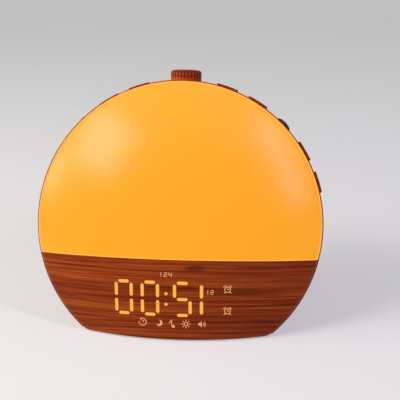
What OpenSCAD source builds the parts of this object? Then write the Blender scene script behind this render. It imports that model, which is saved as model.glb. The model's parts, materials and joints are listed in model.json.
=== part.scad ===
// Sunrise alarm clock: a round lamp clock that leans back on a flat foot. A domed light cover fills the
// upper front, a wood-grain band with a hidden display closes the lower front, and a wood-grain drum
// holds ten side keys, a push-and-turn knob, the boards, the speaker and the power inlet.
//
// Frame: +X to the right of the front, the front faces -Y, +Z up, z = 0 under the rubber feet.
// Disc frame: the origin is the centre of the drum's front rim, +Y runs back along the drum's axis and
// +Z runs up the rim's plane. place() leans the disc frame back and stands it on its feet.

/* [Shell] */
// Width across the round shell
shell_d = 180; // [150:1:216]
// Lean of the whole round body, in degrees from upright
lean = 15.6; // [13:0.1:18.8]
// Straight part of the drum behind its front rim
drum_depth = 38; // [37:1:46]
// How far the back bulges behind the drum
back_bulge = 18; // [16:0.5:22]
// Radius of the back's outer edge
back_round = 14; // [11.5:0.5:15]
// Wall of the drum and the back
wall = 2.4; // [2:0.1:3]
// Height of shell that the flat base cuts off, along the rim's plane
base_cut = 23; // [19:0.5:27]

/* [Front] */
// How far the drum's rim stands outside the front cover
rim_lip = 0.7; // [0.4:0.1:1.2]
// How far the front dome bulges from the rim
dome_bulge = 27; // [22:0.5:32]
// Radius where the dome turns into the rim
dome_round = 5; // [4:0.5:6]
// Wall of the light cover and of the band
cover_t = 2.2; // [1.8:0.1:2.6]
// Height of the band above the base, along the rim's plane
band_h = 47.2; // [44:0.2:52]
// Joint line between the light cover and the band
cover_gap = 0.15; // [0.1:0.05:0.3]
// Length of the skirts that plug into the drum
skirt_len = 5; // [4:0.5:5]

/* [Keys] */
// Angle of the first key from the knob
key_first = 18; // [17:0.5:20]
// Angle from one key to the next
key_pitch = 13.5; // [13:0.25:14.5]
// Length of a slab key round the drum
key_len = 13.6; // [10:0.1:14.6]
// Width of a slab key along the drum
key_w = 10; // [8:0.1:12]
// Distance of the key row behind the rim
key_y = 12.6; // [12:0.1:15]
// How far a slab key stands out of the drum
key_proud = 1.6; // [1.2:0.1:2.4]
// Diameter of the round button in the middle of each row
button_d = 10; // [8:0.1:12]
// Extra height of the round button's dome
button_crown = 0.7; // [0.4:0.1:1]
// Travel of a key
key_travel = 0.6; // [0.4:0.1:0.8]
// Side clearance of a key in its slot
key_gap = 0.25; // [0.15:0.05:0.35]

/* [Knob] */
// Diameter of the knob
knob_d = 20; // [18:0.5:24]
// Height of the knob
knob_h = 7.6; // [7:0.1:9]
// Distance of the knob's axis behind the rim
knob_y = 28; // [27:0.5:32]
// Number of grooves round the knob
knob_grooves = 28; // [20:1:36]
// Push travel of the knob
knob_travel = 0.5; // [0.3:0.05:0.6]
// Diameter of the encoder's shaft
shaft_d = 6; // [5:0.5:6]
// Radial clearance of the shaft in its bush
shaft_clear = 0.05; // [0.02:0.01:0.1]

/* [Display] */
// Middle of the display to the right of the clock's middle
display_x = -1; // [-4:0.5:4]
// Distance of the figures' upper row of bars below the joint line
display_drop = 13.8; // [12:0.1:15]
// Distance between the middles of neighbouring figures
digit_pitch = 16.3; // [14:0.1:18]
// Extra distance across the colon
colon_room = 3.5; // [3:0.1:5]
// Width of a figure between the middles of its upright bars
digit_w = 9.2; // [8:0.1:11]
// Height of a figure between the middles of its top and bottom bars
digit_h = 20.8; // [18:0.1:22]
// Width of a lit bar
bar_w = 2.1; // [1.6:0.1:2.4]
// Skin left over the display
skin_t = 0.8; // [0.6:0.1:1]

/* [Speaker] */
// Radius of the speaker's mounting rim
speaker_r = 30; // [27:0.5:32]
// Height of the speaker above the drum's axis
speaker_z = 8; // [4:0.5:12]
// Radius of the grille insert
grille_r = 28; // [26:0.5:30]
// Thickness of the grille insert
grille_t = 2; // [1.6:0.1:2.2]
// Diameter of a grille hole
grille_hole = 2.2; // [1.8:0.1:2.6]
// Rings of holes round the middle one
grille_rings = 5; // [3:1:5]

/* [Base] */
// Thickness of the base plate
base_t = 2.4; // [2:0.1:3]
// How far the rubber feet hold the shell off the table
foot_proud = 1.2; // [0.8:0.1:2]
// Radius of a rubber foot
foot_r = 6; // [4.5:0.1:6.5]
// Diameter of the coin cell
cell_d = 20; // [16:0.1:20]
// Thickness of the coin cell
cell_t = 3.2; // [1.6:0.1:3.2]

/* [Boards] */
// Thickness of the circuit boards
board_t = 1.6; // [1.2:0.1:1.6]
// Distance of the light board's front behind the rim
light_board_y = 6.4; // [6.2:0.1:7]
// Distance of the main board's front behind the rim
main_board_y = 15; // [14.8:0.1:18]
// Side of a lamp chip
led_w = 3; // [2:0.1:3.5]

/* [Power] */
// Distance of the power inlet to the right of the middle
jack_x = 36; // [34:0.5:40]
// Height of the power inlet above the base, along the rim's plane
jack_rise = 40; // [36:0.5:44]
// Diameter of the inlet's socket
jack_bore = 5.6; // [5.5:0.05:6.5]
// Diameter of the inlet's centre pin
jack_pin = 2.1; // [1.7:0.1:2.5]

/* [Hidden] */

wood = "#9c4423";
amber = "#ffb03a";
black = "#1c1815";
white = "#f2f0ea";
green = "#2f6b46";
steel = "#b9bcc0";
brass = "#c9a24b";

shell_r = shell_d / 2;
face_r = shell_r - rim_lip;

// the base plane crosses the rim's plane this far below the drum's axis, and at this depth once it stands
base_z = base_cut - shell_r;
base_y = base_z * sin(lean);
rim_h = foot_proud - base_z * cos(lean);
divide_z = base_z + band_h;

// big radius of a dome of half width a, bulge b and edge radius r
function crown(a, b, r) = (pow(a - r, 2) + b * b - r * r) / (2 * (b - r));
dome_crown = crown(face_r, dome_bulge, dome_round);

// the frame's origin lies under the middle of the whole body, front to back
front_y = (dome_crown - dome_bulge) * cos(lean) - dome_crown;
back_y = drum_depth * cos(lean) + (shell_r - back_round) * sin(lean) + back_round;
shift_y = -(front_y + back_y) / 2;

// clearances: between fixed pieces, under a seat, and round the display's light wells
fit = 0.15;
seat_gap = 0.3;
mask_gap = 0.45;
// how far a post, rib or shelf runs into the wall that carries it
root = 0.5;
// reach of a cutting shape past what it cuts
past = 1;
big = 400;
sides = [-1, 1];

// self-tapping screws, their pilot holes and the holes that they pass
screw_r = 1.2;
head_r = 2.4;
head_t = 1.4;
thread_clear = 0.05;
pilot_r = screw_r + thread_clear;
hole_r = screw_r + 0.2;
head_room = 0.3;

// skirt of the front pieces and the beads that snap into the drum
skirt_t = 2.1;
skirt_root = 3;
skirt_out = shell_r - wall - fit;
skirt_in = skirt_out - skirt_t;
bead_y = 2.4;
bead_w = 1;
bead_h = 0.4;
bead_span = 12;
bead_room = 0.2;
cover_beads = [-75, -30, 30, 75];
band_beads = [-125, 125];

// key rows: cap, lip behind the slot, stem and switch, from the outside in
key_corner = 1.5;
key_edge = 0.5;
key_lip = 1;
key_lip_t = 1.2;
key_top = shell_r + key_proud;
key_lip_top = shell_r - wall - seat_gap;
key_lip_low = key_lip_top - key_lip_t;
button_rim = key_top - 0.4;
button_rise = button_crown + 0.4;
button_foot = key_lip_low + 0.4;
button_place = 3;
stem_r = 2;
stem_in = 0.6;
stem_clear = 0.15;
main_board_r = shell_r - 12;
switch_w = 6;
switch_t = 3.6;
switch_h = 4.6;
switch_top = main_board_r + 1.8;
switch_well = stem_in + key_travel + 0.4;
key_count = 5;

// knob and encoder, measured out from the drum's axis
seat_z = shell_r - 1;
pad_w = 16;
pad_z = shell_r - wall - 2.7;
bush_r = 3.5;
bush_clear = 0.1;
nut_t = 2;
nut_r = 5.6;
nut_well_r = knob_d / 2 - 1.8;
bush_top = seat_z + nut_t + 0.5;
encoder_w = 12;
encoder_h = 6.5;
encoder_hollow_r = 5;
encoder_floor = 1;
encoder_board_w = 18;
end_gap = 0.2;
knob_low = shell_r + knob_travel + 0.25;
knob_top = knob_low + knob_h;
knob_edge = 1.1;
knob_wall = 2.4;
knob_roof = 2.6;
hub_t = 1.5;
hub_gap = knob_travel + end_gap;
groove_r = 0.55;
groove_out = 0.15;
groove_low = knob_low + 2.2;
groove_len = knob_h - 3.4;
shaft_top = knob_top - 1.4;
flat_x = shaft_d / 4;
flat_clear = 0.03;
collar_t = 1.2;
collar_top = pad_z - 1.5;
collar_low = collar_top - collar_t;
plunger_r = 4;
plunger_t = 1.6;
plunger_gap = 0.1;

// posts that carry the boards
post_r = 3.5;
post_ring = shell_r - wall - 21;
post_angles = [-95, -45, 45, 95];
post_rib = 1.6;
post_rib_y = main_board_y + 6;
post_pilot_len = 12;
board_screw_len = 18;
spacer_r = 3;
spacer_clear = 0.15;

shelf_t = 2;
light_low = divide_z - 1.5;
light_board_r = shell_r - 6;
reflector_t = 0.8;
reflector_y = light_board_y - reflector_t;
main_low = base_z + 19;
led_rings = [[0, 1], [22, 6], [44, 12], [66, 18]];
led_clear = 0.3;
led_rise = 5;
led_post_room = 6;

// on the main board: [x, z, width, height, thickness] of each chip, and the headers to the light board
board_back = main_board_y + board_t;
chips = [[0, 2, 12, 12, 1.6], [-26, -12, 6, 5, 1.5], [22, 20, 5, 4, 1.4], [-24, 22, 8, 4, 2]];
capacitor_r = 4;
capacitor_len = 9;
capacitor_spots = [[26, -16], [36, -12]];
header_w = 12.7;
header_d = 2.5;
header_spots = [[-20, 30], [20, 30]];

// display, in the disc frame
digit_row = divide_z - display_drop - digit_h / 2;
mask_w = 78;
mask_h = 38;
mask_z = divide_z - 24.2;
display_y = -7.4;
ear_w = 100;
ear_h = 24;
ear_x = 45.5;
ear_zs = [7.5, -7.5];
ear_post_r = 2.8;
ear_pilot_len = 5;
display_screw_len = 5.5;
first_digit = display_x - 30.4;
bar_gap = 0.7;
colon_rise = 3.4;
colon_r = 1.1;
// small marks: the row under the digits, two at the right, the day over them and the hour mark
mark_well = 5.6;
mark_xs = [-18.5, -8, -0.2, 8.3, 17.9];
mark_drop = 5.3;
side_mark = 11.1;
side_rise = 6.9;
day_well = [8.2, 3.4];
day_spot = [-4.4, 5.4];
hour_well = [5, 3.2];
chip_long = 1.6;
chip_short = 0.8;
chip_t = 0.6;

// speaker and grille
speaker_seat = drum_depth + back_bulge - 6;
speaker_open = speaker_r - 5.5;
speaker_bolt = speaker_r - 2.5;
speaker_flange = 1.2;
speaker_screw_len = 3;
ring_r = speaker_r + 3;
grille_ledge = 2;
grille_pitch = 4.3;
cone_r = speaker_open - 3.4;
roll_r = 1.5;
roll_t = 0.6;
roll_y = -2.2;
cap_ball = 8.6;
cap_t = 0.5;
cap_y = -12.2;
cap_low = -7;

// base, in the upright frame about the rim's centre
floor_z = base_z * cos(lean);
plate_top = floor_z + base_t;
front_screw = [41, base_y + 0.518];
back_screw = [30, base_y + 47.018];
base_screw_len = 7;
boss_r = 3.2;
boss_h = 9;
boss_web = 2;
pilot_len = 9;
front_foot = [50, base_y + 12.018];
back_foot = [38, base_y + 40.018];
foot_sink = 1;
foot_clear = 0.1;
foot_bevel = 0.5;
foot_bevel_h = 0.6;
bay_y = base_y + 23.018;
bay_rim = 5;
bay_corner = 3;
door_w = 37;
door_d = 26;
door_t = 1.6;
door_screw_x = 13.5;
door_screw_r = 0.8;
door_head_r = 1.8;
door_head_t = 0.7;
door_head_well = 0.8;
door_screw_len = 5;
tab_w = 8;
tab_out = 1.6;
tab_t = 0.8;
tab_gap = 0.1;
cell_x = -5;
cell_clear = 0.3;
cell_z = floor_z + door_t + 0.1;
contact_t = 0.4;
contact_r = 7;
contact_hole = 3;
bay_top = floor_z + door_t + cell_t + 3.2;

// power inlet
jack_z = base_z + jack_rise;
jack_seat = drum_depth + back_bulge - 3;
jack_r = jack_bore / 2 + 1.2;
jack_clear = 0.1;
jack_flange = 1.4;
jack_flange_t = 1.4;
jack_flange_well = jack_r + jack_flange + 0.2;
jack_len = 9;
jack_body = 14;
nut_wall_gap = 0.2;

// ---------------------------------------------------------------- frames and shared shapes

module place() translate([0, shift_y, rim_h]) rotate([-lean, 0, 0]) children();
module upright() translate([0, shift_y, rim_h]) children();
module around(angle) rotate([0, angle, 0]) children();

// turns a half profile, drawn as radius and depth, about the drum's axis
module turned() rotate([-90, 0, 0]) rotate_extrude($fn = 180) children();

// the same towards the front
module turned_front() rotate([90, 0, 0]) rotate_extrude($fn = 180) children();

// a flat piece across the drum's axis: the 2-D shape is drawn in X and Z
module across(y, t) translate([0, y + t, 0]) rotate([90, 0, 0]) linear_extrude(t) children();

module rod(y, len, r, fn = 48) translate([0, y, 0]) rotate([-90, 0, 0]) cylinder(h = len, r = r, $fn = fn);

// the same thing on the left and on the right
module at_both(spot) for (x = sides) translate([x * spot[0], spot[1], 0]) children();

module four(front, back) {
    at_both(front) children();
    at_both(back) children();
}

module rounded(w, d, r) {
    square([w - 2 * r, d], center = true);
    square([w, d - 2 * r], center = true);
    for (x = sides, y = sides) translate([x * (w / 2 - r), y * (d / 2 - r)]) circle(r, $fn = 32);
}

// half profile of a dome of half width a and bulge b, inset by t: a shallow crown that ends on its
// common normal with the small arc of radius r, which turns it into the rim
module dome_profile(a, b, r, t) {
    top = crown(a, b, r);
    normal = [a - r, top - b] / (top - r);
    intersection() {
        translate([0, b - top]) circle(top - t, $fn = 360);
        polygon([[0, 0], [a - r, 0], [a - r, 0] + 2 * r * normal, [0, 4 * b]]);
    }
    translate([a - r, 0]) intersection() {
        circle(r - t, $fn = 96);
        translate([-r, 0]) square([2 * r, r]);
    }
}

module front_profile(t) dome_profile(face_r, dome_bulge, dome_round, t);
module front_solid(t) turned_front() front_profile(t);

module drum_solid(t) turned() {
    square([shell_r - t, drum_depth]);
    square([shell_r - back_round, drum_depth + past]);
    translate([0, drum_depth]) dome_profile(shell_r, back_bulge, back_round, t);
}

module ring(y, len, outer, inner) turned() translate([inner, y]) square([outer - inner, len]);

// the space above the base plane
module over_floor() translate([-big / 2, -big / 2, foot_proud]) cube(big);

module above(z) translate([-big / 2, -big / 2, z]) cube(big);
module below(z) translate([-big / 2, -big / 2, z - big]) cube(big);

// screw that points up from its seat, with its head below
module screw(len) {
    cylinder(h = len, r = screw_r, $fn = 24);
    translate([0, 0, -head_t]) cylinder(h = head_t, r = head_r, $fn = 32);
}

// ---------------------------------------------------------------- front

// the cover's wall and the skirt that plugs into the drum, as one wall round the front
module front_wall() turned_front() {
    difference() {
        front_profile(0);
        front_profile(cover_t);
    }
    translate([skirt_in, -skirt_len]) square([skirt_t, skirt_len + skirt_root]);
}

// snap bead on the skirt, centred at an angle from the top
module bead(angle) around(angle - bead_span / 2) rotate([-90, 0, 0]) rotate([0, 0, -90])
    rotate_extrude(angle = bead_span, $fn = 180)
        translate([skirt_out - root, bead_y]) square([root + bead_h, bead_w]);

module diffuser() color(amber) place() {
    intersection() {
        front_wall();
        above(divide_z + cover_gap);
    }
    for (angle = cover_beads) bead(angle);
}

module display_window(t) translate([display_x, 0, mask_z]) across(-dome_bulge, dome_bulge)
    square([mask_w + 2 * t, mask_h + 2 * t], center = true);

module front_band() color(wood) difference() {
    union() {
        intersection() {
            place() intersection() {
                front_wall();
                below(divide_z);
            }
            over_floor();
        }
        place() for (angle = band_beads) bead(angle);
        place() band_shelf();
        place() display_posts();
        front_bosses();
    }
    place() intersection() {
        display_window(mask_gap);
        front_solid(skin_t);
    }
    place() display_pilots();
    base_pilots(front_screw);
}

// holes for the base screws, up from the base plane
module base_pilots(spot) upright() at_both(spot) translate([0, 0, floor_z - past])
    cylinder(h = pilot_len + past, r = pilot_r, $fn = 24);

// screw bosses for the base plate, tied to the band's front wall
module front_bosses() intersection() {
    upright() at_both(front_screw) translate([0, 0, plate_top]) {
        cylinder(h = boss_h, r = boss_r, $fn = 48);
        translate([-boss_web / 2, -dome_bulge, 0]) cube([boss_web, dome_bulge, boss_h]);
    }
    place() front_solid(cover_t - root);
}

// shelf that parts the light chamber from the display chamber
module band_shelf() intersection() {
    union() {
        front_solid(cover_t - root);
        turned() square([skirt_out - root, reflector_y - fit]);
    }
    translate([-big / 2, -big / 2, divide_z - shelf_t]) cube([big, big, shelf_t]);
}

module display_ears() for (x = sides, z = ear_zs)
    translate([display_x + x * ear_x, 0, mask_z + z]) children();

module display_posts() intersection() {
    display_ears() rod(-dome_bulge, dome_bulge + display_y, ear_post_r);
    front_solid(cover_t - root);
}

module display_pilots() display_ears() rod(display_y - ear_pilot_len, ear_pilot_len + past, pilot_r, 24);

// ---------------------------------------------------------------- drum and back

module rear_housing() color(wood) difference() {
    intersection() {
        union() {
            place() difference() {
                drum_solid(0);
                drum_solid(wall);
            }
            place() board_posts();
            place() encoder_pad();
            place() speaker_ring();
            upright() base_bosses();
        }
        over_floor();
    }
    place() {
        bead_groove();
        key_slots();
        knob_hole();
        grille_seat();
        jack_hole();
        at_posts() rod(main_board_y, post_pilot_len, pilot_r, 24);
    }
    base_pilots(back_screw);
}

// groove inside the rim, which the beads snap into
module bead_groove() {
    inside = shell_r - wall;
    ring(bead_y - bead_room, bead_w + 2 * bead_room, inside + bead_h + bead_room, inside - past);
}

module at_posts() for (angle = post_angles) around(angle) translate([0, 0, post_ring]) children();

module board_posts() intersection() {
    at_posts() {
        rod(board_back, drum_depth + back_bulge, post_r);
        translate([-post_rib / 2, post_rib_y, 0])
            cube([post_rib, drum_depth + back_bulge, shell_r - post_ring]);
    }
    drum_solid(wall - root);
}

module encoder_pad() intersection() {
    translate([-pad_w / 2, knob_y - pad_w / 2, pad_z]) cube([pad_w, pad_w, shell_r - pad_z]);
    drum_solid(wall - root);
}

module knob_hole() translate([0, knob_y, 0]) {
    cylinder(h = shell_r + past, r = bush_r + bush_clear, $fn = 48);
    translate([0, 0, seat_z]) cylinder(h = nut_t + past, r = nut_well_r, $fn = 64);
}

module speaker_ring() intersection() {
    translate([0, 0, speaker_z]) rod(speaker_seat, back_bulge, ring_r, 96);
    drum_solid(wall - root);
}

module at_bolts() for (angle = [45:90:315]) around(angle) translate([0, 0, speaker_bolt]) children();

module grille_seat() translate([0, 0, speaker_z]) {
    rod(speaker_seat - past, back_bulge, speaker_open, 96);
    difference() {
        rod(speaker_seat + grille_ledge, back_bulge, grille_r + fit, 96);
        translate([0, 0, -speaker_z]) drum_solid(grille_t + fit / 3);
    }
    at_bolts() rod(speaker_seat - past, past + speaker_screw_len, pilot_r, 24);
}

module jack_hole() translate([jack_x, 0, jack_z]) {
    rod(drum_depth, back_bulge + past, jack_r + jack_clear);
    rod(jack_seat, back_bulge, jack_flange_well);
}

// screw bosses for the base plate, tied to the back wall
module base_bosses() intersection() {
    at_both(back_screw) translate([0, 0, plate_top]) {
        cylinder(h = boss_h, r = boss_r, $fn = 48);
        translate([-boss_web / 2, 0, 0]) cube([boss_web, back_bulge, boss_h]);
    }
    rotate([-lean, 0, 0]) drum_solid(wall - root);
}

module slot_shape(grow) rounded(key_len + 2 * grow, key_w + 2 * grow, key_corner);

// a 2-D shape run out through the wall, from under a key's lip
module key_column() translate([0, key_y, key_lip_low - past])
    linear_extrude(key_top - key_lip_low + 2 * past) children();

module key_slots() for (side = sides, i = [1:key_count]) around(side * key_angle(i)) key_column() {
    if (i == button_place) circle(button_d / 2 + key_gap, $fn = 64);
    else slot_shape(key_gap);
}

function key_angle(i) = key_first + (i - 1) * key_pitch;

// ---------------------------------------------------------------- keys

module key(side, i) place() around(side * key_angle(i)) {
    if (i == button_place) button();
    else slab_key();
}

// lip that holds the key behind its slot, and the stem that presses the switch
module key_foot(w, d) {
    intersection() {
        key_column() rounded(w, d, key_corner);
        turned() translate([key_lip_low, 0]) square([key_lip_t, 2 * key_y]);
    }
    translate([0, key_y, switch_top - stem_in]) cylinder(h = key_lip_top - switch_top, r = stem_r, $fn = 32);
}

// slab that follows the drum's curve, its long edges rounded
module slab_key() color(wood) {
    tall = key_top - key_lip_low;
    intersection() {
        key_column() slot_shape(0);
        turned() translate([0, key_y]) {
            translate([key_lip_low, -key_w / 2]) square([tall - key_edge, key_w]);
            translate([key_lip_low, key_edge - key_w / 2]) square([tall, key_w - 2 * key_edge]);
            for (v = sides) translate([key_top - key_edge, v * (key_w / 2 - key_edge)])
                circle(key_edge, $fn = 24);
        }
    }
    key_foot(key_len + 2 * key_lip, key_w + 2 * key_lip);
}

// round button with a domed top
module button() color(black) {
    ball = (pow(button_d / 2, 2) + button_rise * button_rise) / (2 * button_rise);
    translate([0, key_y, 0]) rotate_extrude($fn = 64) {
        translate([0, button_foot]) square([button_d / 2, button_rim - button_foot]);
        intersection() {
            translate([0, button_rim + button_rise - ball]) circle(ball, $fn = 180);
            translate([0, button_rim]) square([button_d / 2, button_rise + past]);
        }
    }
    key_foot(button_d + 2 * key_lip, button_d + 2 * key_lip);
}

// ---------------------------------------------------------------- knob and encoder

module on_knob_axis() place() translate([0, knob_y, 0]) children();

module knob() color(wood) on_knob_axis() difference() {
    r = knob_d / 2;
    hollow = r - knob_wall;
    hub_low = bush_top + hub_gap;
    rotate_extrude($fn = 128) {
        translate([hollow, knob_low]) square([knob_wall, knob_h - knob_edge]);
        translate([0, knob_top - knob_roof]) square([hollow + root, knob_roof - knob_edge]);
        translate([0, knob_top - knob_edge]) square([r - knob_edge, knob_edge]);
        translate([r - knob_edge, knob_top - knob_edge]) intersection() {
            circle(knob_edge, $fn = 48);
            square(knob_edge);
        }
        translate([0, hub_low]) square([shaft_d / 2 + hub_t, knob_top - knob_roof + root - hub_low]);
    }
    translate([0, 0, bush_top]) linear_extrude(shaft_top + end_gap - bush_top) shaft_section(flat_clear);
    for (i = [0:knob_grooves - 1]) rotate([0, 0, i * 360 / knob_grooves])
        translate([r + groove_out, 0, groove_low]) cylinder(h = groove_len, r = groove_r, $fn = 24);
}

module shaft_section(grow) intersection() {
    circle(shaft_d / 2 + grow, $fn = 64);
    translate([-shaft_d, -shaft_d]) square([shaft_d + flat_x + grow, 2 * shaft_d]);
}

// a collar that rests on the plunger, the round shaft in its bush and the flat that drives the knob
module encoder_shaft() color(steel) on_knob_axis() {
    translate([0, 0, collar_low]) {
        cylinder(h = collar_t, r = shaft_d / 2 + hub_t, $fn = 64);
        cylinder(h = bush_top + end_gap - collar_low, r = shaft_d / 2, $fn = 64);
    }
    translate([0, 0, bush_top]) linear_extrude(shaft_top - bush_top) shaft_section(0);
}

// pressed can with a threaded bush, hollow round the collar and the plunger
module encoder_body() color(steel) on_knob_axis() difference() {
    hollow_low = pad_z - encoder_h + encoder_floor;
    union() {
        translate([-encoder_w / 2, -encoder_w / 2, pad_z - encoder_h])
            cube([encoder_w, encoder_w, encoder_h]);
        translate([0, 0, pad_z - past]) cylinder(h = bush_top - pad_z + past, r = bush_r, $fn = 64);
    }
    translate([0, 0, hollow_low])
        cylinder(h = collar_top + end_gap - hollow_low, r = encoder_hollow_r, $fn = 64);
    translate([0, 0, collar_top]) cylinder(h = bush_top, r = shaft_d / 2 + shaft_clear, $fn = 64);
}

module encoder_plunger() color(white) on_knob_axis()
    translate([0, 0, collar_low - plunger_t - plunger_gap]) cylinder(h = plunger_t, r = plunger_r, $fn = 48);

module encoder_nut() color(brass) on_knob_axis() translate([0, 0, seat_z]) difference() {
    cylinder(h = nut_t, r = nut_r, $fn = 6);
    translate([0, 0, -past]) cylinder(h = nut_t + 2 * past, r = bush_r + thread_clear, $fn = 64);
}

module encoder_board() color(green) on_knob_axis()
    translate([-encoder_board_w / 2, -encoder_board_w / 2, pad_z - encoder_h - board_t])
        cube([encoder_board_w, encoder_board_w, board_t]);

// ---------------------------------------------------------------- light and main boards

function post_at(a) = [post_ring * sin(a), post_ring * cos(a)];

module post_holes(r) for (a = post_angles) translate(post_at(a)) circle(r, $fn = 32);

// rings of lamp chips, left out near the joint line and near the posts
module led_spots() for (ring = led_rings, i = [0:ring[1] - 1]) {
    a = i * 360 / ring[1];
    z = ring[0] * cos(a);
    near_post = min([for (p = post_angles) norm([ring[0] * sin(a), z] - post_at(p))]);
    if (z > divide_z + led_rise && near_post > led_post_room) translate([ring[0] * sin(a), z]) children();
}

module board_disc(r, low) intersection() {
    circle(r, $fn = 180);
    translate([-big / 2, low]) square(big);
}

module light_board() color(white) place() across(light_board_y, board_t) difference() {
    board_disc(light_board_r, light_low);
    post_holes(hole_r);
}

module reflector() color(white) place() across(reflector_y, reflector_t) difference() {
    board_disc(light_board_r + root, light_low);
    post_holes(head_r + head_room);
    led_spots() square(led_w + 2 * led_clear, center = true);
}

module led_chips() color(amber) place() across(reflector_y, reflector_t)
    led_spots() square(led_w, center = true);

module main_board() color(green) place() across(main_board_y, board_t) difference() {
    board_disc(main_board_r, main_low);
    post_holes(hole_r);
}

// controller, amplifier, clock and light driver chips, and two tall capacitors, on the board's back
module board_chips() color(black) place() {
    for (chip = chips) translate([chip[0], 0, chip[1]]) across(board_back, chip[4])
        square([chip[2], chip[3]], center = true);
    for (spot = capacitor_spots) translate([spot[0], 0, spot[1]]) rod(board_back, capacitor_len, capacitor_r);
}

// headers that join the main board to the light board
module board_headers() color(black) place() for (spot = header_spots) translate([spot[0], 0, spot[1]])
    across(light_board_y + board_t, main_board_y - light_board_y - board_t)
        square([header_w, header_d], center = true);

module key_switches() color(black) place() for (side = sides, i = [1:key_count])
    around(side * key_angle(i)) difference() {
        translate([-switch_w / 2, main_board_y - switch_h, switch_top - switch_t])
            cube([switch_w, switch_h, switch_t]);
        translate([0, key_y, switch_top - switch_well])
            cylinder(h = switch_t, r = stem_r + stem_clear, $fn = 32);
    }

module board_spacers() color(brass) place() at_posts() difference() {
    rod(light_board_y + board_t, main_board_y - light_board_y - board_t, spacer_r, 6);
    rod(light_board_y, main_board_y, screw_r + spacer_clear, 24);
}

module board_screws() color(steel) place() at_posts()
    translate([0, light_board_y, 0]) rotate([-90, 0, 0]) screw(board_screw_len);

// ---------------------------------------------------------------- display

function digit_x(i) = first_digit + i * digit_pitch + (i > 1 ? colon_room : 0);

// lit bar with pointed ends
module bar(len) {
    long = len / 2;
    half = bar_w / 2;
    polygon([[-long, 0], [half - long, half], [long - half, half], [long, 0], [long - half, -half],
        [half - long, -half]]);
}

module digit_bars() {
    half = digit_h / 2;
    for (z = [-half, 0, half]) translate([0, z]) bar(digit_w - 2 * bar_gap);
    for (x = sides, z = sides) translate([x * digit_w / 2, z * half / 2]) rotate(90)
        bar(half - 2 * bar_gap);
}

// middles of the small marks round the digits
mark_spots = concat(
    [for (x = mark_xs) [display_x + x, digit_row - digit_h / 2 - mark_drop]],
    [for (z = sides) [digit_x(3) + side_mark, digit_row + z * side_rise]]
);
day_at = [display_x + day_spot[0], digit_row + digit_h / 2 + day_spot[1]];
hour_at = [digit_x(3), digit_row + digit_h / 4];

module display_wells() {
    for (i = [0:3]) translate([digit_x(i), digit_row]) digit_bars();
    for (z = sides) translate([(digit_x(1) + digit_x(2)) / 2, digit_row + z * colon_rise])
        circle(colon_r, $fn = 24);
    for (spot = mark_spots) translate(spot) square(mark_well, center = true);
    translate(day_at) square(day_well, center = true);
    translate(hour_at) square(hour_well, center = true);
}

module display_board() color(green) place() across(display_y, board_t) difference() {
    translate([display_x, mask_z]) {
        square([mask_w, mask_h], center = true);
        square([ear_w, ear_h], center = true);
    }
    for (x = sides, z = ear_zs) translate([display_x + x * ear_x, mask_z + z]) circle(hole_r, $fn = 32);
}

// light-well block that fills the space between the board and the skin
module display_mask() color(white) place() difference() {
    intersection() {
        translate([display_x, 0, mask_z]) across(-dome_bulge, dome_bulge + display_y)
            square([mask_w, mask_h], center = true);
        front_solid(skin_t + fit);
    }
    across(-dome_bulge - past, dome_bulge) display_wells();
}

// one chip behind each bar and each mark
module display_leds() color(amber) place() across(display_y - chip_t, chip_t) {
    for (i = [0:3], x = sides, z = sides)
        translate([digit_x(i) + x * digit_w / 2, digit_row + z * digit_h / 4])
            square([chip_short, chip_long], center = true);
    for (i = [0:3], z = [-1, 0, 1]) translate([digit_x(i), digit_row + z * digit_h / 2])
        square([chip_long, chip_short], center = true);
    for (spot = concat(mark_spots, [day_at, hour_at])) translate(spot)
        square([chip_long, chip_short], center = true);
}

module display_screws() color(steel) place() display_ears()
    translate([0, display_y + board_t, 0]) rotate([90, 0, 0]) screw(display_screw_len);

// ---------------------------------------------------------------- speaker

module on_speaker_axis() place() translate([0, 0, speaker_z]) children();

module speaker_grille() color(black) place() difference() {
    intersection() {
        translate([0, 0, speaker_z]) rod(speaker_seat + grille_ledge, back_bulge, grille_r, 96);
        drum_solid(0);
    }
    drum_solid(grille_t);
    translate([0, 0, speaker_z]) {
        rod(speaker_seat, back_bulge, grille_hole / 2, 24);
        for (n = [1:grille_rings], i = [0:6 * n - 1]) around(i * 60 / n)
            translate([0, 0, n * grille_pitch]) rod(speaker_seat, back_bulge, grille_hole / 2, 24);
    }
}

// pressed steel frame: a flange on the ring, a sloped wall with four windows and a floor
module speaker_basket() color(black) on_speaker_axis() difference() {
    translate([0, speaker_seat, 0]) turned() polygon([
        [speaker_r, 0], [speaker_open - 1, 0], [14.4, -9.2], [6, -9.2], [6, -10.4], [15, -10.4],
        [speaker_open + 0.3, -2], [speaker_open + 0.3, -speaker_flange], [speaker_r, -speaker_flange]
    ]);
    for (angle = [0:90:270]) around(angle) translate([-6, speaker_seat - 8.2, 14]) cube([12, 5.4, 12]);
    at_bolts() rod(speaker_seat - 2 * past, 4 * past, hole_r, 24);
}

// top plate, ring magnet and back plate
module speaker_magnet() color(steel) on_speaker_axis() translate([0, speaker_seat, 0]) turned() {
    translate([0, -12.4]) square([15, 2]);
    translate([0, -20.4]) square([16, 8]);
    translate([0, -22]) square([15, 1.6]);
}

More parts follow.
